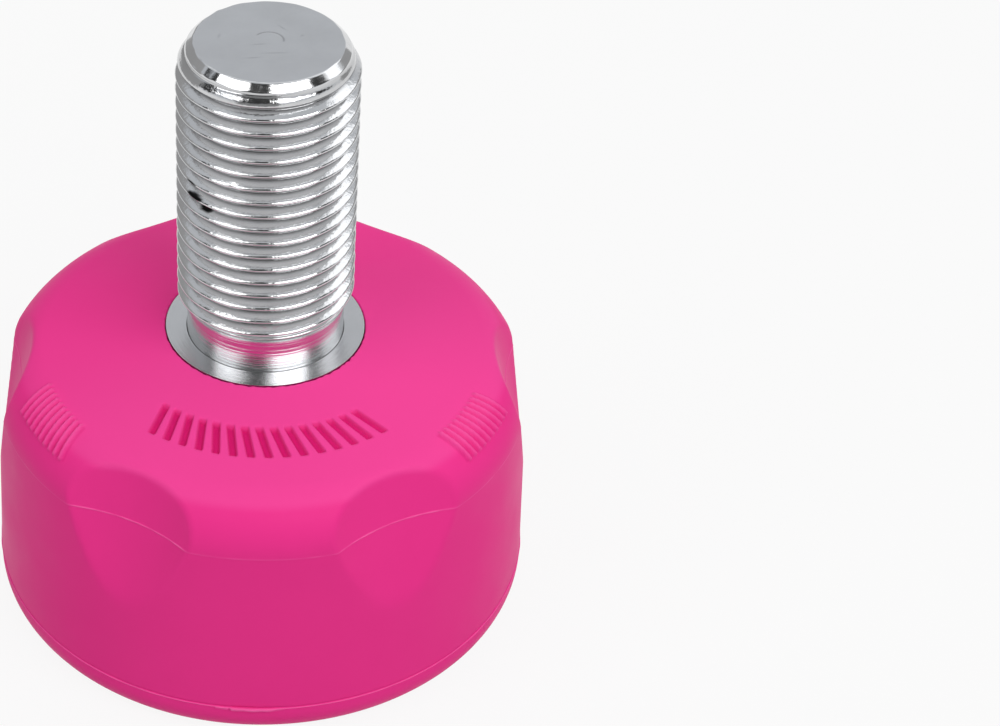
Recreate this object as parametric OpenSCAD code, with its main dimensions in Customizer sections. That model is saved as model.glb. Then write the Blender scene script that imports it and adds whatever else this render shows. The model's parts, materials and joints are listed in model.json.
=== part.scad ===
// Toe stop for a quad roller skate: a moulded rubber stopper bonded round a flanged
// steel insert, with a threaded stem that screws into the skate's plate.
// The wear face lies on z = 0, the stem points up and one plain land faces -Y.

/* [Rubber stopper] */
// Height from the wear face to the collar
body_h = 28.4; // [25:0.1:36]
// Diameter at the foot of the wall, before its edge is rounded
body_d = 49.8; // [47:0.1:56]
// Draft of the wall, in degrees
draft = 1.8; // [0.6:0.1:3]
// Radius of the edge round the wear face
edge_r = 3.2; // [1:0.1:5]
// Radius of the shoulder between the wall and the top
shoulder_r = 5.2; // [3:0.1:7]
// Fall of the top from the collar to the shoulder, in degrees
top_slope = 10; // [4:0.5:14]

/* [Scoops] */
// Number of scoops round the shoulder
scoop_count = 6; // [3:1:8]
// Radius across a scoop
scoop_r = 17; // [12:0.5:24]
// Lean of a scoop towards the stem, in degrees
scoop_tilt = 15.2; // [10:0.2:20]
// Depth of a scoop where the wall meets the shoulder
scoop_depth = 1.9; // [0.6:0.1:2.8]

/* [Threaded stem] */
// Outside diameter of the thread
thread_d = 15.875; // [15.5:0.005:17]
// Height of the stem above the collar
stem_h = 30.2; // [20:0.1:45]
// Width of the chamfer round the stem's end
end_chamfer = 0.6; // [0.2:0.1:1.2]
// Height of the tapered lead between the chamfer and the full thread
lead_h = 1.7; // [0.6:0.1:3]
// Drop of the lead below the thread's outside radius
lead_drop = 0.9; // [0.3:0.1:1.5]
// Diameter of the plain neck below the thread
neck_d = 14.12; // [12:0.02:14.8]
// Height of the plain neck above the collar
neck_h = 3.6; // [1:0.1:8]
// Height of the stem's spread foot
foot_h = 1.5; // [0.6:0.1:2.4]

/* [Anchor insert] */
// Diameter of the collar that shows round the stem
collar_d = 18; // [17:0.1:20]
// Diameter of the flange inside the rubber
flange_d = 34; // [31:0.5:38]
// Thickness of the flange
flange_t = 3; // [2.6:0.1:5]
// Depth of the flange below the collar
flange_depth = 10; // [8:0.5:14]
// Number of holes through which the rubber grips the flange
key_count = 6; // [3:1:8]
// Diameter of a grip hole
key_d = 5; // [3:0.1:5.4]
// Diameter of the circle that the grip holes lie on
key_pcd = 26; // [25:0.1:27]

/* [Fits] */
// Gap between the neck and the insert's bore
neck_gap = 0.1; // [0.04:0.02:0.2]
// Thickness of the bond between rubber and steel
bond = 0.05; // [0.02:0.01:0.1]

/* [Hidden] */
$fn = 96;
// Overlap of a cutter past the face that it cuts
past = 1;
// Largest turn between neighbouring points of a rounded edge, in degrees
arc_step = 6;

foot_r = body_d / 2;
thread_r = thread_d / 2;
neck_r = neck_d / 2;
collar_r = collar_d / 2;
flange_r = flange_d / 2;

// Height at which the drafted wall meets the shoulder, with both tangent there
shoulder_in = foot_r - shoulder_r * cos(draft) + shoulder_r * sin(top_slope) - collar_r;
shoulder_down = shoulder_in * tan(top_slope) + shoulder_r * (cos(top_slope) - sin(draft));
part_z = (body_h - shoulder_down) / (1 - tan(draft) * tan(top_slope));

flange_top = body_h - flange_depth;
flange_foot = flange_top - flange_t;
thread_z0 = body_h + neck_h + thread_r - neck_r;
lead_r = thread_r - lead_drop;
lead_z = body_h + stem_h - end_chamfer;

function wall_r(z) = foot_r - z * tan(draft);
shoulder_c = [wall_r(part_z) - shoulder_r * cos(draft), part_z - shoulder_r * sin(draft)];
edge_c = [wall_r(edge_r) - edge_r / cos(draft), edge_r];

// Points along an arc about c, from angle a0 to angle a1
function arc(c, r, a0, a1) =
    let (n = ceil((a1 - a0) / arc_step))
    [for (i = [0 : n]) let (a = a0 + (a1 - a0) * i / n) c + r * [cos(a), sin(a)]];

// Half of the stopper's section: a rounded foot, a drafted wall, a rounded shoulder, a sloping top
module stopper_section() {
    polygon(concat(
        [[0, 0]],
        arc(edge_c, edge_r, -90, draft),
        arc(shoulder_c, shoulder_r, draft, 90 - top_slope),
        [[collar_r, body_h], [0, body_h]]
    ));
}

// Round cutters that lean over the shoulder, one for each scoop
module scoops() {
    innermost = wall_r(part_z) - scoop_depth;
    for (k = [0 : scoop_count - 1])
        rotate([0, 0, k * 360 / scoop_count])
            translate([innermost, 0, part_z])
                rotate([0, -scoop_tilt, 0])
                    translate([scoop_r, 0, 0])
                        cylinder(r = scoop_r, h = body_h, center = true);
}

// Posts on the grip holes' circle, under the lands between the scoops
module grip_posts(d, z0, z1) {
    for (k = [0 : key_count - 1])
        rotate([0, 0, (k + 0.5) * 360 / key_count])
            translate([key_pcd / 2, 0, z0])
                cylinder(d = d, h = z1 - z0);
}

// The insert's outside, with a layer of bond on it and its collar carried on above the top
module insert_form(layer, above) {
    translate([0, 0, flange_foot - layer])
        cylinder(r = flange_r + layer, h = flange_t + 2 * layer);
    translate([0, 0, flange_foot])
        cylinder(r = collar_r + layer, h = body_h - flange_foot + above);
}

module rubber_stopper() {
    color("deeppink") {
        difference() {
            rotate([0, 0, 180 / scoop_count]) rotate_extrude() stopper_section();
            scoops();
            difference() {
                insert_form(bond, past);
                grip_posts(key_d - 2 * bond, flange_foot - past, flange_top + past);
            }
        }
    }
}

module anchor_insert() {
    bore_r = neck_r + neck_gap;
    color("gainsboro") {
        difference() {
            insert_form(0, 0);
            grip_posts(key_d, flange_foot - past, flange_top + past);
            translate([0, 0, flange_foot - past])
                cylinder(r = bore_r, h = body_h - flange_foot + 2 * past);
            translate([0, 0, flange_foot])
                cylinder(r1 = bore_r + foot_h, r2 = bore_r, h = foot_h);
        }
    }
}

module threaded_stem() {
    color("silver") {
        rotate_extrude() {
            polygon([
                [0, flange_foot],
                [neck_r + foot_h, flange_foot],
                [neck_r, flange_foot + foot_h],
                [neck_r, body_h + neck_h],
                [thread_r, thread_z0],
                [thread_r, lead_z - lead_h],
                [lead_r, lead_z],
                [lead_r - end_chamfer, body_h + stem_h],
                [0, body_h + stem_h]
            ]);
        }
    }
}

rubber_stopper();
anchor_insert();
threaded_stem();
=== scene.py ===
"""Dresses the solids of a roller skate toe stop: moulded rubber, a rolled thread and turned steel."""

import json
import math

import bmesh
import bpy
import numpy as np
from bpy.props import FloatProperty, FloatVectorProperty, IntProperty, PointerProperty
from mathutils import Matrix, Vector


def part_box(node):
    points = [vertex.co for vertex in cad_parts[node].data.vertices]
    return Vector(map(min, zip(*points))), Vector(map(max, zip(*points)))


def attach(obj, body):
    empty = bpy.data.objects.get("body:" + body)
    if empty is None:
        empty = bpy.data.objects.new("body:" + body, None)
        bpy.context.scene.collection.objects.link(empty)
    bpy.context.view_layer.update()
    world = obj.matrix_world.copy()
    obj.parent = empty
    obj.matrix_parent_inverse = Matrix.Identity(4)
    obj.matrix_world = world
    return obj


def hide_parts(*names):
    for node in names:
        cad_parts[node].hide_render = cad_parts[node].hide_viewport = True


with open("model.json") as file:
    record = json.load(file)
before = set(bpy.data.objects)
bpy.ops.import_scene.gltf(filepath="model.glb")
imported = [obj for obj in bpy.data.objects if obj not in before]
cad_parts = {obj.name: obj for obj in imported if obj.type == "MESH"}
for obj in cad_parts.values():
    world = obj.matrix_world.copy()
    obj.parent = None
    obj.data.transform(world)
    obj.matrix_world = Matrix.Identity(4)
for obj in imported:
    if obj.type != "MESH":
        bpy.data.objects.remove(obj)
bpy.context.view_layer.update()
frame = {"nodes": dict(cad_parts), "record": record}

bl_info = {
    "name": "Skate Toe Stop",
    "version": (1, 0, 0),
    "blender": (4, 5, 0),
    "location": "3D View > Sidebar > Toe Stop",
    "description": "Makes the moulded stopper, the threaded stem and the stage round the packed solids",
    "category": "Object",
}

# What the frame gives, in metres
INSERT_LOW, INSERT_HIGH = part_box("anchor_insert")
STEM_LOW, STEM_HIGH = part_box("threaded_stem")
THREAD_MOUNT = next(mount for mount in frame["record"]["mounts"] if mount["name"] == "stem_thread")

MM = 0.001
FULL_TURN = 2 * math.pi
# The land that faces the viewer lies on -Y
FRONT = -math.pi / 2
# Vertices closer than this are one vertex
WELD = 1e-7


# Settings

def length(name, description, millimetres):
    """A length that shows in the sidebar in the scene's units."""
    return FloatProperty(
        name=name, description=description, default=millimetres * MM, unit="LENGTH", precision=5
    )


def angle(name, description, degrees):
    """An angle that shows in the sidebar in degrees."""
    return FloatProperty(
        name=name, description=description, default=math.radians(degrees), subtype="ANGLE"
    )


def number_of(name, description, default, least=1):
    """A whole number of like things."""
    return IntProperty(name=name, description=description, default=default, min=least)


def ratio(name, description, default):
    """A plain number, such as a run for a length."""
    return FloatProperty(name=name, description=description, default=default)


def colour(name, description, default):
    """A colour swatch, in linear values."""
    return FloatVectorProperty(
        name=name, description=description, default=default, subtype="COLOR", size=3, min=0.0, max=1.0
    )


class StopperSizes(bpy.types.PropertyGroup):
    """Sizes of the moulded rubber stopper"""

    height: length("Height", "From the wear face to the collar", INSERT_HIGH.z / MM)
    foot_r: length("Foot radius", "Radius of the wall at the wear face", 24.9)
    draft: angle("Draft", "Lean of the wall", 1.8)
    edge_r: length("Edge radius", "Rounding round the wear face", 3.2)
    shoulder_r: length("Shoulder radius", "Rounding between wall and top", 5.2)
    top_slope: angle("Top slope", "Fall of the top towards the shoulder", 10.0)
    collar_r: length("Collar radius", "Radius of the steel collar that the rubber meets", 9.0)
    collar_gap: length("Collar gap", "Gap between rubber and collar", 0.07)
    lip_r: length("Lip radius", "Rounding of the rubber's edge at the collar", 0.14)
    flange_r: length("Flange radius", "Radius of the insert's flange", INSERT_HIGH.x / MM)
    flange_t: length("Flange thickness", "Thickness of the insert's flange", 3.0)
    scoop_count: number_of("Scoops", "Scoops round the shoulder", 6, least=3)
    scoop_r: length("Scoop radius", "Radius across a scoop", 17.0)
    scoop_tilt: angle("Scoop lean", "Lean of a scoop towards the stem", 15.2)
    scoop_depth: length("Scoop depth", "Depth of a scoop at the parting line", 1.9)
    ease_low: length("Scoop edge", "Easing of a scoop's edge at the parting line", 0.2)
    ease_high: length("Scoop upper edge", "Easing of a scoop's edge near the top", 0.32)
    seam_h: length("Parting ridge", "Height of the ridge along the parting line", 0.06)
    flash_z: length("Flash place", "Height of the flash line above the wear face", 3.9)
    flash_h: length("Flash", "How far the flash line stands out", 0.07)
    flap_h: length("Flap", "How far the torn flap on the flash line stands out", 0.17)


class BarSizes(bpy.types.PropertyGroup):
    """The row of bars recessed into the front of the top"""

    count: number_of("Bars", "Bars in the row", 15)
    spacing: angle("Bar spacing", "Turn from one bar to the next", 5.25)
    width: length("Bar width", "Width of a bar", 0.64)
    reach: length("Bar length", "Length of a bar", 3.3)
    slant: ratio("Bar slant", "Sideways run of a bar for its length", -0.28)
    soft: length("Bar edge", "Width over which a bar's edge falls away", 0.18)
    place: length("Bar place", "From the shoulder up to the middle of the bars", 4.6)
    depth: length("Bar depth", "Depth of a bar below the top", 0.5)


class RibSizes(bpy.types.PropertyGroup):
    """The rows of ribs raised on the two side lands"""

    count: number_of("Ribs", "Ribs in a row", 10)
    spacing: angle("Rib spacing", "Turn from one rib to the next", 2.0)
    width: length("Rib width", "Width of a rib", 0.34)
    ground: length("Rib ground", "Width of the darker ground round a rib", 1.0)
    reach: length("Rib length", "Length of a rib", 3.6)
    slant: ratio("Rib slant", "Sideways run of a rib for its length", -0.2)
    soft: length("Rib edge", "Width over which a rib's edge falls away", 0.16)
    place: length("Rib place", "From the parting line up to the middle of the ribs", 5.1)
    height: length("Rib height", "Height of a rib above the land", 0.3)


class StemSizes(bpy.types.PropertyGroup):
    """Sizes of the threaded stem"""

    crest_r: length("Crest radius", "Outside radius of the thread", THREAD_MOUNT["dims"]["r_mm"])
    root_r: length("Root radius", "Radius at the bottom of the thread", 7.07)
    root_ease: length("Root easing", "Rounding at the bottom of the thread", 0.1)
    crest_ease: length("Crest easing", "Rounding along the thread's crest", 0.2)
    pitch: length("Pitch", "Rise of the thread in one turn", 25.4 / 18)
    first_crest: length("First crest", "Height of the top crest at the front", 57.18)
    neck_r: length("Neck radius", "Radius of the plain neck", 7.06)
    neck_h: length("Neck height", "Plain neck above the collar", 3.6)
    seat_r: length("Seat radius", "Radius of the neck where it sits in the collar", 7.12)
    chamfer: length("End chamfer", "Width of the chamfer round the end", 0.6)
    lead_h: length("Lead height", "Height of the tapered lead below the chamfer", 1.7)
    lead_drop: length("Lead drop", "Drop of the lead below the thread's crests", 0.9)
    edge_ease: length("Chamfer lower edge", "Rounding between the lead and the chamfer", 0.35)
    face_ease: length("Chamfer upper edge", "Rounding between the chamfer and the flat end", 0.25)
    foot_h: length("Foot height", "Height of the spread foot", 1.5)


class Finishes(bpy.types.PropertyGroup):
    """Colours of the rubber and the steel"""

    rubber: colour("Rubber", "Moulded pink rubber", (0.88, 0.038, 0.277))
    rubber_deep: colour("Rubber, deep", "Rubber where the tone falls away", (0.84, 0.034, 0.263))
    # Painted sheen: a paler pink painted on the faces that look up, heaviest where the light falls
    rubber_painted_sheen: colour("Rubber, bloom", "Paler skin on the faces that look up", (0.90, 0.060, 0.316))
    # Painted shade in the recessed bars, round the ribs and in the crease above the flash line
    rubber_painted_shade: colour("Rubber, sunk", "Floor of the sunk bars", (0.68, 0.012, 0.18))
    # Painted highlight on the seam, the flash line and the rib tops, with light through the thin flash
    # painted in as well
    rubber_painted_highlight: colour("Rubber, thin", "Thin edges that let light through", (0.95, 0.13, 0.42))
    steel: colour("Steel", "Bright plated steel", (0.68, 0.685, 0.695))
    # Painted shade in the thread's roots, and the darker tone of the lead and of the tool's marks on
    # the end
    steel_dark_and_root_shade: colour("Steel, dull", "Plating in the roots and scuffs", (0.12, 0.12, 0.125))
    steel_chip: colour("Steel, chipped", "Dark chips in the plating", (0.01, 0.01, 0.01))


class StageSizes(bpy.types.PropertyGroup):
    """The camera and the light"""

    lens: FloatProperty(
        name="Lens", description="Focal length on a 36 mm wide sensor", default=102.7, unit="CAMERA"
    )
    camera: FloatVectorProperty(
        name="Camera",
        description="Place of the camera",
        default=(0.0, -205.2 * MM, 188.8 * MM),
        subtype="XYZ",
        unit="LENGTH",
    )
    turn: FloatVectorProperty(
        name="Camera turn",
        description="Turn of the camera about X, Y and Z",
        default=(math.radians(51.318), math.radians(-3.499), math.radians(-3.231)),
        subtype="EULER",
    )
    ambient: ratio("Ambient", "Strength of the even light from all round", 0.32)


# Curves and meshes

def ramp(x, low, high):
    """Eases from 0 to 1 as x goes from low to high, where high may be the lower of the two."""
    share = np.clip((x - low) / (high - low), 0.0, 1.0)
    return share * share * (3 - 2 * share)


def stretch(x, start, whole, falling, end):
    """Eases from 0 at start up to 1 at whole, and from 1 at falling back to 0 at end."""
    return ramp(x, start, whole) * ramp(x, end, falling)


def band(x, half_width, soft):
    """1 where x lies within half_width of 0 and 0 outside, with edges that fall away over soft."""
    return ramp(np.abs(x), half_width + soft / 2, half_width - soft / 2)


def hill(x, width):
    """1 at x = 0, falling to nothing a few widths away."""
    return np.exp(-((x / width) ** 2))


def smooth_max(a, b, width):
    """The larger of two distances, blended where they come within width of each other."""
    overlap = np.maximum(width - np.abs(a - b), 0.0)
    return np.maximum(a, b) + overlap**2 / (4 * width)


def wander(turn, lowest, highest, seed):
    """A smooth chance curve round the axis, between about -1 and 1, from a band of waves per turn."""
    chance = np.random.default_rng(seed)
    total = np.zeros_like(turn)
    waves = range(lowest, highest + 1)
    for per_turn in waves:
        total += chance.normal() * np.sin(per_turn * turn + chance.uniform(0, FULL_TURN))
    return total / math.sqrt(len(waves))


def on_circle(centre, radius, at):
    """The point of a circle at an angle."""
    return np.add(centre, np.multiply(radius, (math.cos(at), math.sin(at))))


def evenly(reach, step, extra=()):
    """Distances along a stretch in even steps, with extra ones put in and the last left out."""
    even = np.linspace(0.0, reach, math.ceil(reach / step), endpoint=False)
    inside = [distance for distance in extra if WELD < distance < reach - WELD]
    return np.unique(np.round(np.concatenate([even, inside]), decimals=8))


class Outline:
    """Rows of a turned section: radius, height, outward normal and the distance walked so far."""

    def __init__(self):
        self.rows = []
        self.walked = 0.0

    def line(self, start, end, step, extra=()):
        """Adds a straight stretch without its last point."""
        run = np.subtract(end, start)
        reach = math.hypot(*run)
        normal = (run[1] / reach, -run[0] / reach)
        for along in evenly(reach, step, extra):
            self.rows.append((*(start + run * along / reach), *normal, self.walked + along))
        self.walked += reach

    def arc(self, centre, radius, first, last, step, extra=()):
        """Adds a round stretch from the angle first to the angle last, without its last point."""
        reach = radius * (last - first)
        for along in evenly(reach, step, extra):
            at = first + along / radius
            normal = (math.cos(at), math.sin(at))
            self.rows.append((*on_circle(centre, radius, at), *normal, self.walked + along))
        self.walked += reach

    def close(self, point, normal):
        """Adds the last point."""
        self.rows.append((*point, *normal, self.walked))

    def columns(self):
        """The five values of every row, each as a column."""
        return np.array(self.rows).T[:, :, None]


def grid_faces(rows, columns, first=0, wrap=True):
    """Faces of a grid of rows and columns, whose last column meets the first if it wraps."""
    here = np.arange(columns if wrap else columns - 1)
    there = (here + 1) % columns
    low = first + np.arange(rows - 1)[:, None] * columns
    high = low + columns
    quads = np.stack([low + here, low + there, high + there, high + here], axis=-1)
    return quads.reshape(-1, 4)


def make_object(name, vertices, faces, values):
    """A smooth welded mesh object, with named values on its vertices."""
    mesh = bpy.data.meshes.new(name)
    mesh.from_pydata(vertices, [], faces)
    for key, value in values.items():
        mesh.attributes.new(key, "FLOAT", "POINT").data.foreach_set("value", np.ravel(value))
    welded = bmesh.new()
    welded.from_mesh(mesh)
    bmesh.ops.remove_doubles(welded, verts=welded.verts, dist=WELD)
    if any(not edge.is_manifold for edge in welded.edges):
        raise RuntimeError(f"{name} isn't a closed mesh")
    welded.to_mesh(mesh)
    welded.free()
    mesh.shade_smooth()
    obj = bpy.data.objects.new(name, mesh)
    bpy.context.scene.collection.objects.link(obj)
    return obj


# Rubber stopper

# Depth from which a point counts as well inside a scoop
SCOOP_INSIDE = 0.5 * MM
SEAM_WIDTH = 0.07 * MM
FLASH_WIDTH = 0.05 * MM
# The crease just above the flash line, deeper over the flap
CREASE_WIDTH = 0.08 * MM
CREASE_ABOVE = 0.16 * MM
CREASE_DEEPER = 0.06 * MM
# The torn flap, whose middle hangs below the flash line
FLAP_WIDTH = 0.31 * MM
FLAP_BELOW = 0.1 * MM
FLAP_SOFT = 0.05 * MM
# Where the flap's two stretches start, are whole, begin to fall and end, in degrees from the front
FLAP_THIN = (-9.6, -9.3, -7.0, -6.7)
FLAP_THICK = (-6.4, -6.1, 0.5, 5.5)
# The unevenness of the rubber's edge at the collar
LIP_WEAR_WIDTH = 0.3 * MM
LIP_WEAR_BELOW = 0.6 * MM
LIP_WEAR_DEPTH = 0.03 * MM
# The painted sheen starts and is whole at these heights of the surface's normal
PAINTED_SHEEN_UP = (0.74, 0.86)
# It is heaviest this far round to the right of the front, where the light falls most, and a share of it
# stays at the back
PAINTED_SHEEN_TURN = math.radians(25)
PAINTED_SHEEN_AT_BACK = 0.25


def wall_radius(size, z):
    """Radius of the drafted wall at a height."""
    return size.foot_r - z * math.tan(size.draft)


def parting_height(size):
    """Height at which the drafted wall runs into the shoulder."""
    fall = math.tan(size.top_slope)
    shoulder_in = size.shoulder_r * (math.cos(size.draft) - math.sin(size.top_slope))
    shoulder_up = size.shoulder_r * (math.cos(size.top_slope) - math.sin(size.draft))
    down = (size.foot_r - shoulder_in - size.collar_r) * fall + shoulder_up
    return (size.height - down) / (1 - math.tan(size.draft) * fall)


def stopper_outline(size):
    """The stopper's section, from the middle of the wear face over the top and into the hollow.

    Returns the rows and the distances walked to the flash line, the parting line and the top."""
    part_z = parting_height(size)
    top_angle = math.pi / 2 - size.top_slope
    edge = (wall_radius(size, size.edge_r) - size.edge_r / math.cos(size.draft), size.edge_r)
    wall_foot = on_circle(edge, size.edge_r, size.draft)
    wall_head = (wall_radius(size, part_z), part_z)
    shoulder = on_circle(wall_head, -size.shoulder_r, size.draft)
    top_out = on_circle(shoulder, size.shoulder_r, top_angle)
    hole_r = size.collar_r + size.collar_gap
    top_in_r = hole_r + size.lip_r * (1 + math.cos(top_angle))
    top_in = (top_in_r, size.height - (top_in_r - size.collar_r) * math.tan(size.top_slope))
    lip = on_circle(top_in, -size.lip_r, top_angle)
    flange_foot, flange_top = INSERT_LOW.z, INSERT_LOW.z + size.flange_t

    # Extra rows close round the flash line and the parting line
    close = np.linspace(-0.5, 0.5, 41) * MM
    flash_at = (size.flash_z - wall_foot[1]) / math.cos(size.draft)
    part_at = (part_z - wall_foot[1]) / math.cos(size.draft)

    outline = Outline()
    outline.line((0, 0), (edge[0], 0), 5 * MM, [edge[0] - 0.4 * MM])
    outline.arc(edge, size.edge_r, -math.pi / 2, size.draft, 0.35 * MM)
    flash_walked = outline.walked + flash_at
    outline.line(wall_foot, wall_head, 0.45 * MM, [*(flash_at + close), *(part_at + close)])
    part_walked = outline.walked
    outline.arc(shoulder, size.shoulder_r, size.draft, top_angle, 0.17 * MM, close)
    top_walked = outline.walked
    outline.line(top_out, top_in, 0.17 * MM)
    outline.arc(lip, size.lip_r, top_angle, math.pi, 0.08 * MM)
    outline.line((hole_r, lip[1]), (hole_r, flange_top), 2 * MM)
    outline.line((hole_r, flange_top), (size.flange_r, flange_top), 3 * MM)
    outline.line((size.flange_r, flange_top), (size.flange_r, flange_foot), 2 * MM)
    outline.line((size.flange_r, flange_foot), (0, flange_foot), 5 * MM)
    outline.close((0, flange_foot), (0, 1))
    return outline.columns(), flash_walked, part_walked, top_walked


def ring_angles():
    """Angles round the axis, close together where the marks are and wider behind."""
    near_half, near_count, far_count = math.radians(78), 520, 210
    near = np.linspace(-near_half, near_half, near_count, endpoint=False)
    far = np.linspace(near_half, FULL_TURN - near_half, far_count, endpoint=False)
    return FRONT + np.concatenate([near, far])


def inside_scoop(size, radius, z, turn):
    """How deep a point lies inside the nearest scoop's round cutter; below 0 it is outside."""
    part_z = parting_height(size)
    sector = FULL_TURN / size.scoop_count
    off = (turn + sector / 2) % sector - sector / 2
    innermost = wall_radius(size, part_z) - size.scoop_depth
    across = (radius * np.cos(off) - innermost) * math.cos(size.scoop_tilt)
    across = across + (z - part_z) * math.sin(size.scoop_tilt) - size.scoop_r
    return size.scoop_r - np.hypot(across, radius * np.sin(off))


def scoop_cut(size, radius, z, normal_r, normal_z, turn):
    """Depth below the turned surface at which the scooped surface lies, with eased edges."""
    part_z = parting_height(size)
    ease_grown = part_z + 0.9 * size.shoulder_r
    ease = size.ease_low + (size.ease_high - size.ease_low) * ramp(z, part_z, ease_grown)
    low = np.zeros(np.broadcast_shapes(radius.shape, turn.shape))
    high = np.full_like(low, 3 * size.scoop_depth)
    # Each pass halves the range of depths in which the surface lies
    for _ in range(32):
        middle = (low + high) / 2
        reach = inside_scoop(size, radius - middle * normal_r, z - middle * normal_z, turn)
        cut = smooth_max(-middle, reach, ease) > 0
        low = np.where(cut, middle, low)
        high = np.where(cut, high, middle)
    return high


def parting_seam(up, turn, in_scoop):
    """The ridge along the parting line, never quite even and stronger in the scoops.

    up is the distance above the line."""
    strength = 0.35 + 0.65 * in_scoop
    return hill(up, SEAM_WIDTH) * strength * (0.8 + 0.35 * wander(turn, 15, 90, seed=1))


def torn_flap(turn):
    """How strongly the flap stands out: a thin stretch, then a thick one that runs out to the right."""
    off = np.degrees(turn - FRONT)
    strength = 0.45 * stretch(off, *FLAP_THIN) + stretch(off, *FLAP_THICK)
    return strength * (0.9 + 0.15 * wander(turn, 40, 120, seed=5))


def flash_line(size, up, turn):
    """The flash line round the wall, with a crease above it and a torn flap near the front.

    up is the distance above the line. Returns how far the line stands out, how strongly it takes
    the painted highlight and how strongly it takes the painted shade of the crease."""
    even = size.flash_h * (0.9 + 0.2 * wander(turn, 20, 60, seed=3))
    torn = torn_flap(turn)
    line = hill(up, FLASH_WIDTH)
    flap = torn * band(up + FLAP_BELOW, FLAP_WIDTH / 2, FLAP_SOFT)
    crease = hill(up - CREASE_ABOVE, CREASE_WIDTH)
    out = even * line + size.flap_h * flap - (0.6 * even + CREASE_DEEPER * torn) * crease
    # The line and the flap take a painted highlight, the crease a painted shade
    return out, line + flap, (0.4 + 0.5 * torn) * crease


def slanted_bars(row, turn, radius, across, middle, width):
    """1 on a row of slanted bars and 0 off them, with soft edges.

    row holds the sizes of the bars or ribs. turn and radius place a point round the axis, across is
    its distance from the row's middle line, and the row lies about the angle middle."""
    off = (turn - middle + math.pi) % FULL_TURN - math.pi - row.slant * across / np.maximum(radius, MM)
    last = row.count - 1
    number = np.clip(np.round(off / row.spacing + last / 2), 0, last)
    aside = (off - (number - last / 2) * row.spacing) * radius
    return band(aside, width / 2, row.soft) * band(across, row.reach / 2, row.soft)


def side_ribs(size, ribs, turn, radius, across, width):
    """The rows of ribs on the lands at either side of the front one, with each rib width wide."""
    sector = FULL_TURN / size.scoop_count
    lands = (FRONT - sector, FRONT + sector)
    return sum(slanted_bars(ribs, turn, radius, across, land, width) for land in lands)


def lip_wear(size, radius, z, turn):
    """Depth of the slight unevenness of the rubber's edge at the collar."""
    at_lip = hill(radius - size.collar_r - size.collar_gap, LIP_WEAR_WIDTH)
    at_lip = at_lip * (z > size.height - LIP_WEAR_BELOW)
    return LIP_WEAR_DEPTH * at_lip * wander(turn, 25, 90, seed=8)


def painted_sheen_share(normal_z, turn, in_scoop):
    """How strongly the painted sheen shows on the faces that look up, heaviest where the light falls
    and least of all at the back.
    """
    forward = np.cos(turn - FRONT - PAINTED_SHEEN_TURN)
    heavy = PAINTED_SHEEN_AT_BACK + (1 - PAINTED_SHEEN_AT_BACK) * ramp(forward, -0.8, 0.5)
    return ramp(normal_z, *PAINTED_SHEEN_UP) * (1 - in_scoop) * heavy


def make_stopper(size, bars, ribs, finishes):
    """The moulded rubber, with its scoops, parting line, flash line and plain marks.

    The values left on the mesh say how strongly each point takes the painted highlight on the seam,
    flash line and ribs, the painted shade in the bars, round the ribs and in the crease, and the
    painted sheen on the faces that look up."""
    outline, flash_walked, part_walked, top_walked = stopper_outline(size)
    radius, z, normal_r, normal_z, walked = outline
    turn = ring_angles()[None, :]

    scoop = scoop_cut(size, radius, z, normal_r, normal_z, turn)
    in_scoop = ramp(scoop, 0.0, SCOOP_INSIDE)
    seam = parting_seam(walked - part_walked, turn, in_scoop)
    flash, flash_highlight, crease_shade = flash_line(size, walked - flash_walked, turn)
    bar = slanted_bars(bars, turn, radius, walked - top_walked - bars.place, FRONT, bars.width)
    ribs_across = walked - part_walked - ribs.place
    rib = side_ribs(size, ribs, turn, radius, ribs_across, ribs.width)
    # The ground round each rib takes a painted shade
    ground = side_ribs(size, ribs, turn, radius, ribs_across, ribs.ground) - rib

    depth = scoop - size.seam_h * seam - flash + bars.depth * bar - ribs.height * rib
    depth = depth + lip_wear(size, radius, z, turn)
    moulded_r, moulded_z = radius - depth * normal_r, z - depth * normal_z
    points = np.stack([moulded_r * np.cos(turn), moulded_r * np.sin(turn), moulded_z], axis=-1)
    values = {
        # Painted highlight on the seam, the flash line and the tops of the ribs
        "painted_highlight": np.clip(0.95 * seam + flash_highlight + 0.4 * rib, 0, 1),
        # Painted shade in the recessed bars, round the ribs and in the crease above the flash line
        "painted_shade": np.clip(bar + 0.35 * ground + crease_shade, 0, 1),
        # Painted sheen on the faces that look up
        "painted_sheen": painted_sheen_share(normal_z, turn, in_scoop),
    }
    obj = make_object("moulded_stopper", points.reshape(-1, 3), grid_faces(*points.shape[:2]), values)
    obj.data.materials.append(rubber_material(finishes))
    return obj


# Threaded stem

STEM_COLUMNS = 241
# Where the vertices' rows lie from crest to root, in pitches, closest where the thread bends
ROW_PHASES = (0.0, 0.03, 0.06, 0.085, 0.11, 0.14, 0.2, 0.27, 0.33, 0.37, 0.4, 0.425, 0.45, 0.5)
# Knocks on the crests: how many, and the least and greatest width and depth in mm
DENT_COUNT = 26
DENT_WIDTHS = (0.2, 0.5)
DENT_DEPTHS = (0.04, 0.12)
# Share of its depth that the thread keeps on the lead, and how much of the darker steel tone the lead
# takes
LEAD_GROOVE = 0.16
LEAD_DULL = 0.25
# Heights below the chamfer over which the groove, the lead's darker tone and the grain fade out
GROOVE_FADE = 0.5 * MM
DULL_FADE = 0.2 * MM
GRAIN_FADE = 0.3 * MM
# The painted shade line in the roots narrows with this power of the depth
ROOT_NARROWING = 7
# Depth of the chamfer's unevenness and the height over which it grows
BEVEL_WEAR = 0.014 * MM
BEVEL_WEAR_RISE = 0.1 * MM
# Depth of the tool's marks on the end, and how much of the darker steel tone they take
SCUFF_DEPTH = 0.015 * MM
SCUFF_DULL = 0.6
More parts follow.
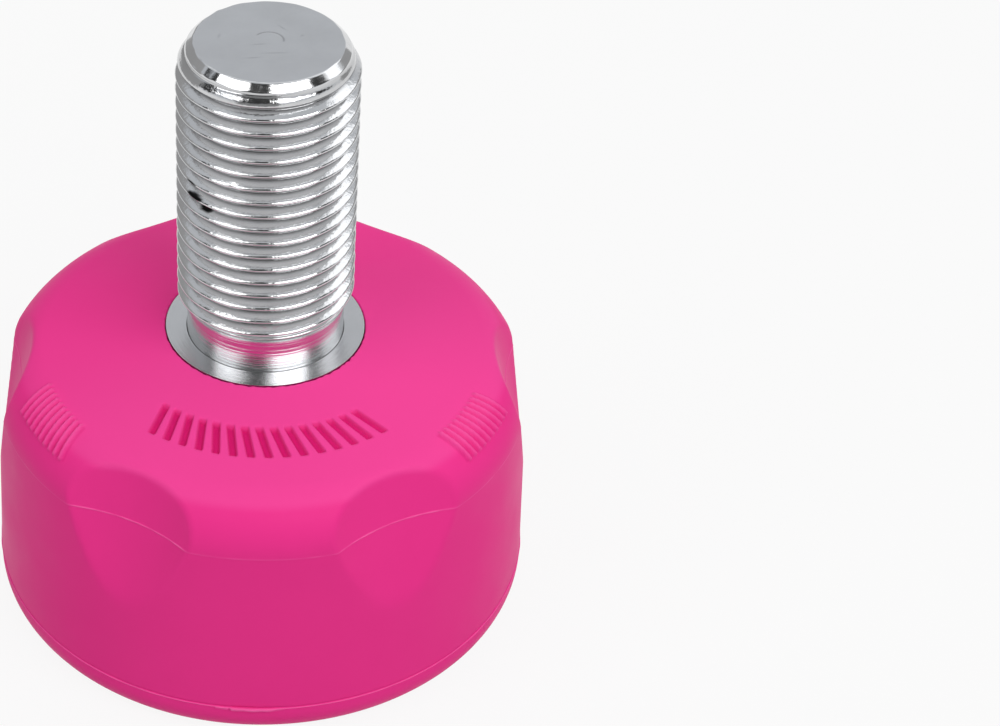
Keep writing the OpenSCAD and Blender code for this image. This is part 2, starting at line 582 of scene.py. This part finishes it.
# Chips in the plating: bearing in degrees, height, half length and half width in mm
CHIPS = ((-145, 47.1, 0.8, 0.1), (-142.5, 45.82, 1.2, 0.2), (-135.5, 44.8, 0.9, 0.2))
# The tool's arc on the end: centre's distance behind the axis, radius and width
TOOL_ARC = (0.2 * MM, 1.25 * MM, 0.09 * MM)
# Where the arc starts, is whole, begins to fade and ends, in radians
TOOL_ARC_ENDS = (-0.35, 0.05, 2.3, 2.7)
# Scratches on the end: right of and behind the axis in mm, slant in degrees and length in mm
SCRATCHES = (
    (-4.2, 0.7, 80, 0.35),
    (1.1, 2.2, -50, 0.5),
    (2.8, 1.0, 60, 0.15),
    (-0.8, -0.5, 10, 0.5),
    (0.5, -1.8, 5, 0.9),
    (-1.3, -2.6, 8, 0.6),
)
SCRATCH_WIDTH = 0.1 * MM
SCRATCH_STRENGTH = 0.45


def thread_radius(size, phase):
    """Radius of a 60 degree thread with rounded crest and root; phase is 0 on the crest."""
    half_crest, half_angle = size.pitch / 16, math.radians(30)
    off = np.abs(phase) * size.pitch
    flank = size.crest_r - (off - half_crest) / math.tan(half_angle)
    return -smooth_max(-size.crest_r, -smooth_max(size.root_r, flank, size.root_ease), size.crest_ease)


def thread_rows(size, low, high):
    """Heights at the front of the rows of vertices that follow the helix, and the phase of each."""
    up = np.array(ROW_PHASES)
    phases = np.concatenate([up, -up[-2:0:-1]])
    turns_down = math.ceil((size.first_crest - low) / size.pitch) + 1
    turns_up = math.ceil((high - size.first_crest) / size.pitch) + 1
    number = np.arange(-turns_down, turns_up + 1)
    start = phases + (phases < 0)
    rows = size.first_crest + (number[:, None] + start[None, :]) * size.pitch
    return rows.reshape(-1, 1), np.tile(phases, len(number))[:, None]


def dents(size, turn, z):
    """Depth of the small knocks on the crests."""
    chance = np.random.default_rng(seed=21)
    total = np.zeros_like(z)
    for _ in range(DENT_COUNT):
        at = chance.uniform(0, FULL_TURN)
        high = chance.uniform(INSERT_HIGH.z + size.neck_h, STEM_HIGH.z - size.chamfer)
        wide = chance.uniform(*DENT_WIDTHS) * MM
        deep = chance.uniform(*DENT_DEPTHS) * MM
        aside = ((turn - at + math.pi) % FULL_TURN - math.pi) * size.crest_r
        total = np.maximum(total, deep * hill(np.hypot(aside, z - high), wide))
    return total


def dark_chips(size, turn, z):
    """1 on the chips in the plating on the left, each long along the thread, and 0 off them."""
    total = np.zeros_like(z)
    for bearing, height, half_length, half_width in CHIPS:
        aside = (turn - math.radians(bearing)) * size.crest_r
        up = z - height * MM - aside * size.pitch / (FULL_TURN * size.crest_r)
        inside = 1 - (aside / (half_length * MM)) ** 2 - (up / (half_width * MM)) ** 2
        total = np.maximum(total, ramp(inside, 0.0, 0.5))
    return total


def stem_outline_low(size):
    """The stem below its thread: the spread foot, and the neck with a seat that fills the collar."""
    foot, collar = STEM_LOW.z, INSERT_HIGH.z
    seat_start, seat_full, seat_end = collar - 1.6 * MM, collar - 1.2 * MM, collar + 0.7 * MM
    corners = [
        (0, foot),
        (size.neck_r + size.foot_h, foot),
        (size.neck_r, foot + size.foot_h),
        (size.neck_r, seat_start),
        (size.seat_r, seat_full),
        (size.seat_r, collar),
        (size.neck_r, seat_end),
        (size.neck_r, collar + size.neck_h),
    ]
    outline = Outline()
    for start, end in zip(corners, corners[1:]):
        outline.line(start, end, 0.6 * MM)
    outline.close(corners[-1], (1, 0))
    return outline.columns()


def eased_corner(corner, radius, first, last):
    """Centre of the arc that eases a corner, where the outline's normal turns from first to last."""
    return on_circle(corner, -radius / math.cos((last - first) / 2), (first + last) / 2)


def stem_outline_end(size):
    """The eased chamfer and the flat end, in finer rows round its middle."""
    end, fine_r = STEM_HIGH.z, 3 * MM
    lead_r = size.crest_r - size.lead_drop
    lead_lean, chamfer_lean, upright = math.atan(size.lead_drop / size.lead_h), math.pi / 4, math.pi / 2
    lower = eased_corner((lead_r, end - size.chamfer), size.edge_ease, lead_lean, chamfer_lean)
    upper = eased_corner((lead_r - size.chamfer, end), size.face_ease, chamfer_lean, upright)
    chamfer_low = on_circle(lower, size.edge_ease, chamfer_lean)
    chamfer_high = on_circle(upper, size.face_ease, chamfer_lean)
    face_edge = on_circle(upper, size.face_ease, upright)
    outline = Outline()
    outline.arc(lower, size.edge_ease, lead_lean, chamfer_lean, 0.02 * MM)
    outline.line(chamfer_low, chamfer_high, 0.06 * MM)
    outline.arc(upper, size.face_ease, chamfer_lean, upright, 0.03 * MM)
    outline.line(face_edge, (fine_r, end), 0.15 * MM, [0.05 * MM])
    outline.line((fine_r, end), (0, end), 0.06 * MM)
    outline.close((0, end), (0, 1))
    return outline.columns()


def end_scuffs(x, y):
    """1 on the tool's arc and less on the faint scratches on the stem's end, 0 off them."""
    arc_back, arc_r, arc_width = TOOL_ARC
    bearing = np.arctan2(y - arc_back, x)
    total = hill(np.hypot(x, y - arc_back) - arc_r, arc_width) * stretch(bearing, *TOOL_ARC_ENDS)
    for right, back, slant, reach in SCRATCHES:
        lean = math.radians(slant)
        aside, behind = x - right * MM, y - back * MM
        along = aside * math.cos(lean) + behind * math.sin(lean)
        across = behind * math.cos(lean) - aside * math.sin(lean)
        scratch = SCRATCH_STRENGTH * hill(along, reach * MM) * hill(across, SCRATCH_WIDTH)
        total = np.maximum(total, scratch)
    return total


def thread_grid(size, angles, lead_r, high):
    """Radius and height of the threaded length's vertices, and the values that its finish needs.

    lead_r and high are where the tapered lead meets the chamfer."""
    low = INSERT_HIGH.z + size.neck_h
    rows, phase = thread_rows(size, low, high)
    z = np.clip(rows + size.pitch * (angles - FRONT) / FULL_TURN, low, high)
    thread = thread_radius(size, phase)
    run_out = size.neck_r + (z - low)
    groove = LEAD_GROOVE * ramp(z, high, high - GROOVE_FADE) * (size.crest_r - thread)
    lead = lead_r + (high - z) * size.lead_drop / size.lead_h - groove
    radius = np.minimum(thread, np.minimum(run_out, lead))
    whole = stretch(z, low, low + size.pitch, high - size.pitch, high)
    knocked = dents(size, angles, z) * ramp(radius, size.root_r, size.crest_r)
    radius = radius - knocked * whole

    # Painted shade in the thread's roots, narrowing towards the crests
    root = ramp(radius, size.crest_r, size.root_r) ** ROOT_NARROWING
    on_lead = ramp(z, high - size.lead_h, high) * ramp(z, high, high - DULL_FADE)
    looks = {
        "root_shade_and_dark_steel": np.maximum(whole * root, LEAD_DULL * on_lead),
        "black_mark": dark_chips(size, angles, z),
        "grain": stretch(z, low, low + size.pitch, high - GRAIN_FADE, high),
    }
    return radius, z, looks


def end_grid(angles, outline):
    """The same for the chamfer, which is slightly uneven, and the flat end with the tool's marks."""
    radius, z, normal_r, normal_z, _ = outline
    low = z[0, 0]
    bevel = ramp(z, low, low + BEVEL_WEAR_RISE) * ramp(normal_z, 1.0, 0.9)
    uneven = BEVEL_WEAR * bevel * wander(angles, 6, 30, seed=13)
    scuffs = end_scuffs(radius * np.cos(angles), radius * np.sin(angles))
    worn_z = z - uneven * normal_z - SCUFF_DEPTH * scuffs
    return radius - uneven * normal_r, worn_z, {"root_shade_and_dark_steel": SCUFF_DULL * scuffs}


def make_stem(size, finishes):
    """The stem, from three grids: its right-hand thread, the neck below it and the end above it."""
    angles = np.linspace(FRONT - math.pi, FRONT + math.pi, STEM_COLUMNS)[None, :]
    neck_r, neck_z, *_ = stem_outline_low(size)
    end = stem_outline_end(size)
    lead_r, lead_z = end[:2, 0, 0]
    grids = (
        thread_grid(size, angles, lead_r, lead_z),
        (neck_r, neck_z, {"turned": 0.5}),
        end_grid(angles, end),
    )
    points, faces, count = [], [], 0
    values = {"root_shade_and_dark_steel": [], "black_mark": [], "turned": [], "grain": []}
    for radius, z, looks in grids:
        radius, z, turn = np.broadcast_arrays(radius, z, angles)
        placed = np.stack([radius * np.cos(turn), radius * np.sin(turn), z], axis=-1)
        points.append(placed.reshape(-1, 3))
        faces.append(grid_faces(*radius.shape, first=count, wrap=False))
        for key, value in values.items():
            value.append(np.broadcast_to(looks.get(key, 0.0), radius.shape).ravel())
        count += radius.size
    obj = make_object(
        "rolled_thread_stem",
        np.concatenate(points),
        np.concatenate(faces),
        {key: np.concatenate(value) for key, value in values.items()},
    )
    steel = steel_material(finishes, "plated_stem_steel", cut=0.05, haze=0.08, tint=1.0)
    obj.data.materials.append(steel)
    return obj


# Materials

class Nodes:
    """Adds nodes to a tree and links them by socket name."""

    def __init__(self, tree):
        self.tree = tree
        tree.nodes.clear()

    def add(self, kind, settings=None, **inputs):
        """Adds a node with its settings, and with its inputs linked or set."""
        node = self.tree.nodes.new("ShaderNode" + kind)
        for key, value in (settings or {}).items():
            setattr(node, key, value)
        for key, value in inputs.items():
            self.put(node.inputs[key.replace("_", " ")], value)
        return node

    def put(self, socket, value):
        """Links an output to a socket, or sets the socket's own value."""
        if isinstance(value, bpy.types.NodeSocket):
            self.tree.links.new(value, socket)
        else:
            socket.default_value = value

    def math(self, operation, a, b):
        """A sum, product or the like of two values."""
        node = self.add("Math", {"operation": operation})
        self.put(node.inputs[0], a)
        self.put(node.inputs[1], b)
        return node.outputs[0]

    def mix(self, factor, a, b):
        """A colour that goes from a to b as the factor goes from 0 to 1."""
        node = self.add("Mix", {"data_type": "RGBA"})
        # A mix node has sockets for every kind of data, and these are the ones for colours
        for number, value in ((0, factor), (6, a), (7, b)):
            self.put(node.inputs[number], value)
        return node.outputs[2]

    def layer(self, below, above, factor):
        """A shader that goes from below to above as the factor goes from 0 to 1."""
        node = self.add("MixShader", Fac=factor)
        self.put(node.inputs[1], below.outputs[0])
        self.put(node.inputs[2], above.outputs[0])
        return node.outputs[0]

    def spread(self, value, low, high):
        """Maps 0.3 to 0.7, the middle of a noise, on to low and high."""
        limits = {"From_Min": 0.3, "From_Max": 0.7, "To_Min": low, "To_Max": high}
        return self.add("MapRange", {"clamp": True}, Value=value, **limits).outputs[0]

    def noise(self, vector, scale, detail=2.0):
        """A noise with so many lumps to the metre."""
        return self.add("TexNoise", Vector=vector, Scale=scale, Detail=detail).outputs["Fac"]

    def value_of(self, name):
        """A value kept on the mesh's vertices."""
        return self.add("Attribute", {"attribute_name": name}).outputs["Fac"]


def opaque(rgb):
    """A colour with its alpha."""
    return (*rgb, 1.0)


def new_material(name):
    """An empty material and what adds nodes to it."""
    material = bpy.data.materials.new(name)
    material.use_nodes = True
    return material, Nodes(material.node_tree)


def rubber_material(finishes):
    """Satin moulded rubber: a faint drift of tone, a fine skin, a painted sheen on the faces that look
    up, painted highlights on thin edges and ribs and painted shade in recessed places.
    """
    material, nodes = new_material("satin_pink_rubber")
    place = nodes.add("TexCoord").outputs["Object"]
    drift = nodes.spread(nodes.noise(place, 70.0, 3.0), 0.0, 0.5)
    tone = nodes.mix(drift, opaque(finishes.rubber), opaque(finishes.rubber_deep))
    for value, shade in (
        # Painted sheen, painted highlight and painted shade, laid over the rubber's own tone
        ("painted_sheen", finishes.rubber_painted_sheen),
        ("painted_highlight", finishes.rubber_painted_highlight),
        ("painted_shade", finishes.rubber_painted_shade),
    ):
        tone = nodes.mix(nodes.value_of(value), tone, opaque(shade))
    gloss = nodes.spread(nodes.noise(place, 180.0, 4.0), 0.38, 0.48)
    skin = nodes.add("Bump", Strength=0.12, Distance=0.06 * MM, Height=nodes.noise(place, 5200.0, 3.0))
    waves = nodes.add("Bump", Strength=0.25, Distance=0.3 * MM, Height=nodes.noise(place, 130.0))
    nodes.put(waves.inputs["Normal"], skin.outputs[0])
    shader = nodes.add("BsdfPrincipled", Base_Color=tone, Roughness=gloss, Normal=waves.outputs[0])
    shader.inputs["Specular IOR Level"].default_value = 0.05
    nodes.add("OutputMaterial", Surface=shader.outputs[0])
    return material


def steel_material(finishes, name, cut, haze, tint):
    """Bright plated steel: fine rings about the axis, painted shade in the roots, dark chips and faint
    smears.

    cut is the strength of the lathe's rings all over, beside those that the mesh's own value asks
    for, haze is the least roughness and tint darkens the plating."""
    material, nodes = new_material(name)
    place = nodes.add("TexCoord").outputs["Object"]
    x, y, z = nodes.add("SeparateXYZ", Vector=place).outputs
    from_axis = nodes.add("VectorMath", {"operation": "LENGTH"})
    nodes.put(from_axis.inputs[0], nodes.add("CombineXYZ", X=x, Y=y).outputs[0])
    section = nodes.add("CombineXYZ", X=from_axis.outputs["Value"], Y=z).outputs[0]
    rings = nodes.noise(section, 9000.0)
    smear = nodes.noise(place, 260.0, 4.0)
    specks = nodes.noise(place, 2600.0, 4.0)
    clean = [tint * channel for channel in finishes.steel]
    worn = [0.9 * channel for channel in clean]
    tone = nodes.mix(nodes.spread(smear, 0.0, 1.0), opaque(clean), opaque(worn))
    # Painted shade in the thread's roots, with the darker tone of the lead and of the tool's marks on
    # the end
    root_shade_and_dark_steel = nodes.math("MULTIPLY", nodes.value_of("root_shade_and_dark_steel"), 0.75)
    tone = nodes.mix(root_shade_and_dark_steel, tone, opaque(finishes.steel_dark_and_root_shade))
    tone = nodes.mix(nodes.value_of("black_mark"), tone, opaque(finishes.steel_chip))
    gloss = nodes.math("ADD", nodes.spread(smear, haze, haze + 0.04), nodes.spread(specks, 0.0, 0.04))
    strength = nodes.math("ADD", nodes.value_of("turned"), cut)
    lathe = nodes.add("Bump", Strength=strength, Distance=0.05 * MM, Height=rings)
    rough = nodes.math("ADD", nodes.math("MULTIPLY", nodes.value_of("grain"), 0.5), 0.12)
    pits = nodes.add("Bump", Strength=rough, Distance=0.04 * MM, Height=specks, Normal=lathe.outputs[0])
    shader = nodes.add("BsdfPrincipled", Base_Color=tone, Roughness=gloss, Normal=pits.outputs[0])
    shader.inputs["Metallic"].default_value = 1.0
    nodes.add("OutputMaterial", Surface=shader.outputs[0])
    return material


# Stage

WHITE = (1.0, 1.0, 1.0)


def seen_directly(nodes):
    """1 on camera, glossy and transmission rays, which all show the white background."""
    path = nodes.add("LightPath").outputs
    seen = nodes.math("MAXIMUM", path["Is Camera Ray"], path["Is Glossy Ray"])
    return nodes.math("MAXIMUM", seen, path["Is Transmission Ray"])


def flat_sheet(name, wide, high, material):
    """A flat sheet about its own middle."""
    x, y = wide / 2, high / 2
    mesh = bpy.data.meshes.new(name)
    mesh.from_pydata([(-x, -y, 0), (x, -y, 0), (x, y, 0), (-x, y, 0)], [], [(0, 1, 2, 3)])
    mesh.materials.append(material)
    return bpy.data.objects.new(name, mesh)


def make_floor():
    """A pale floor just under the wear face, white to the viewer but still holding the shadow."""
    wide, below, grey, glow_share = 3.0, 0.02 * MM, 0.6, 0.9
    material, nodes = new_material("pale_floor")
    matt = nodes.add("BsdfDiffuse", Color=(grey, grey, grey, 1.0))
    glow = nodes.add("Emission", Color=opaque(WHITE), Strength=1.0)
    share = nodes.math("MULTIPLY", seen_directly(nodes), glow_share)
    nodes.add("OutputMaterial", Surface=nodes.layer(matt, glow, share))
    floor = flat_sheet("floor", wide, wide, material)
    floor.location.z = -below
    bpy.context.scene.collection.objects.link(floor)


def make_world(ambient):
    """White at the horizon where it is seen, greyer overhead in reflections, and an even soft light."""
    world = bpy.data.worlds.new("studio")
    world.use_nodes = True
    bpy.context.scene.world = world
    nodes = Nodes(world.node_tree)
    up = nodes.add("SeparateXYZ", Vector=nodes.add("TexCoord").outputs["Generated"]).outputs[2]
    sky = nodes.add("ValToRGB", Fac=up)
    stops = sky.color_ramp.elements
    # A new ramp has a stop at either end, and this puts one between them
    stops.new(0.5)
    tones = ((0.05, WHITE), (0.5, (0.61, 0.63, 0.66)), (1.0, (0.64, 0.66, 0.68)))
    for stop, (height, tone) in zip(stops, tones):
        stop.position = height
        stop.color = opaque(tone)
    seen = nodes.add("Background", Color=sky.outputs[0], Strength=1.0)
    soft = nodes.add("Background", Color=opaque(WHITE), Strength=ambient)
    nodes.add("OutputWorld", Surface=nodes.layer(soft, seen, seen_directly(nodes)))


def aim(obj, azimuth, elevation, distance):
    """Puts a lamp or card round the part, facing its middle: azimuth 0 is the front, 90 the right."""
    around, above = math.radians(azimuth), math.radians(elevation)
    level = math.cos(above)
    toward = Vector((math.sin(around) * level, -math.cos(around) * level, math.sin(above)))
    middle = Vector((0, 0, INSERT_HIGH.z))
    obj.location = middle + toward * distance
    obj.rotation_euler = (middle - obj.location).to_track_quat("-Z", "Y").to_euler()
    bpy.context.scene.collection.objects.link(obj)


def make_lights():
    """Soft boxes, and a fill for the back wall that reflections don't show.

    Each has its azimuth, elevation, width, height and power, and whether it shows in reflections."""
    distance = 0.60
    for name, azimuth, elevation, wide, high, power, shows in (
        ("key_box", 37, 47, 0.44, 0.26, 1.84, True),
        ("left_box", -59, 50, 0.36, 0.30, 0.89, True),
        ("right_box", 110, 41, 0.36, 0.30, 0.34, True),
        ("back_box", 180, 62, 0.50, 0.30, 0.26, True),
        ("back_fill", 180, 14, 0.50, 0.20, 0.42, False),
    ):
        light = bpy.data.lights.new(name, "AREA")
        light.shape = "RECTANGLE"
        light.size, light.size_y, light.energy = wide, high, power
        lamp = bpy.data.objects.new(name, light)
        lamp.visible_glossy = shows
        aim(lamp, azimuth, elevation, distance)


def make_cards():
    """Cards behind and between the soft boxes, which only reflections show.

    Each has its azimuth, elevation, distance, width, height and grey."""
    for name, azimuth, elevation, distance, wide, high, grey in (
        ("front_card", -12, 48, 0.64, 0.60, 0.46, 0.04),
        ("front_low_card", -12, 14, 0.66, 0.64, 0.30, 0.3),
        ("right_card", 77, 37, 0.64, 0.32, 0.30, 0.04),
        ("left_card", -84, 36, 0.64, 0.20, 0.30, 0.04),
        ("low_card", 122, 12, 0.64, 0.46, 0.26, 0.4),
        ("side_card", -130, 14, 0.66, 0.95, 0.44, 0.4),
    ):
        material, nodes = new_material(name)
        glow = nodes.add("Emission", Color=(grey, grey, grey, 1.0), Strength=1.0)
        nodes.add("OutputMaterial", Surface=glow.outputs[0])
        card = flat_sheet(name, wide, high, material)
        card.visible_camera = False
        card.visible_diffuse = False
        card.visible_shadow = False
        aim(card, azimuth, elevation, distance)


def make_camera(stage):
    """The camera, where the photograph was taken from."""
    data = bpy.data.cameras.new("camera")
    data.sensor_width = 36.0
    data.lens = stage.lens
    data.clip_start, data.clip_end = 0.01, 20.0
    camera = bpy.data.objects.new("camera", data)
    camera.location = stage.camera
    camera.rotation_euler = stage.turn
    bpy.context.scene.collection.objects.link(camera)
    bpy.context.scene.camera = camera


# Operators

class TOESTOP_OT_stopper(bpy.types.Operator):
    """Make the moulded rubber stopper"""

    bl_idname = "toe_stop.stopper"
    bl_label = "Moulded stopper"

    def execute(self, context):
        scene = context.scene
        obj = make_stopper(
            scene.stopper_sizes, scene.bar_sizes, scene.rib_sizes, scene.toe_stop_finishes
        )
        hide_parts("rubber_stopper")
        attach(obj, "root")
        return {"FINISHED"}


class TOESTOP_OT_stem(bpy.types.Operator):
    """Make the steel stem with its rolled thread"""

    bl_idname = "toe_stop.stem"
    bl_label = "Threaded stem"

    def execute(self, context):
        obj = make_stem(context.scene.stem_sizes, context.scene.toe_stop_finishes)
        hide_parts("threaded_stem")
        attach(obj, "root")
        return {"FINISHED"}


class TOESTOP_OT_insert(bpy.types.Operator):
    """Give the anchor insert its turned steel finish"""

    bl_idname = "toe_stop.insert"
    bl_label = "Anchor insert"

    def execute(self, context):
        finishes = context.scene.toe_stop_finishes
        steel = steel_material(finishes, "turned_insert_steel", cut=0.4, haze=0.2, tint=0.92)
        for slot in frame["nodes"]["anchor_insert"].material_slots:
            slot.material = steel
        return {"FINISHED"}


class TOESTOP_OT_stage(bpy.types.Operator):
    """Set up the floor, the light and the camera"""

    bl_idname = "toe_stop.stage"
    bl_label = "Stage"

    def execute(self, context):
        context.scene.view_settings.view_transform = "Standard"
        make_floor()
        make_world(context.scene.stage_sizes.ambient)
        make_lights()
        make_cards()
        make_camera(context.scene.stage_sizes)
        return {"FINISHED"}


class TOESTOP_PT_sidebar(bpy.types.Panel):
    """The pieces of the toe stop and their sizes"""

    bl_label = "Toe Stop"
    bl_space_type = "VIEW_3D"
    bl_region_type = "UI"
    bl_category = "Toe Stop"

    def draw(self, context):
        for operator in OPERATORS:
            self.layout.operator(operator.bl_idname)
        for name in SETTINGS:
            box = self.layout.box()
            group = getattr(context.scene, name)
            for key in group.bl_rna.properties.keys():
                if key not in {"rna_type", "name"}:
                    box.prop(group, key)


SETTINGS = {
    "stopper_sizes": StopperSizes,
    "bar_sizes": BarSizes,
    "rib_sizes": RibSizes,
    "stem_sizes": StemSizes,
    "toe_stop_finishes": Finishes,
    "stage_sizes": StageSizes,
}
OPERATORS = (TOESTOP_OT_stopper, TOESTOP_OT_stem, TOESTOP_OT_insert, TOESTOP_OT_stage)
CLASSES = (*SETTINGS.values(), *OPERATORS, TOESTOP_PT_sidebar)


def register():
    for cls in CLASSES:
        bpy.utils.register_class(cls)
    for name, group in SETTINGS.items():
        setattr(bpy.types.Scene, name, PointerProperty(type=group))


def unregister():
    for name in SETTINGS:
        delattr(bpy.types.Scene, name)
    for cls in reversed(CLASSES):
        bpy.utils.unregister_class(cls)


def main():
    register()
    bpy.ops.toe_stop.stage()
    bpy.ops.toe_stop.stopper()
    bpy.ops.toe_stop.stem()
    bpy.ops.toe_stop.insert()


if __name__ == "__main__":
    main()
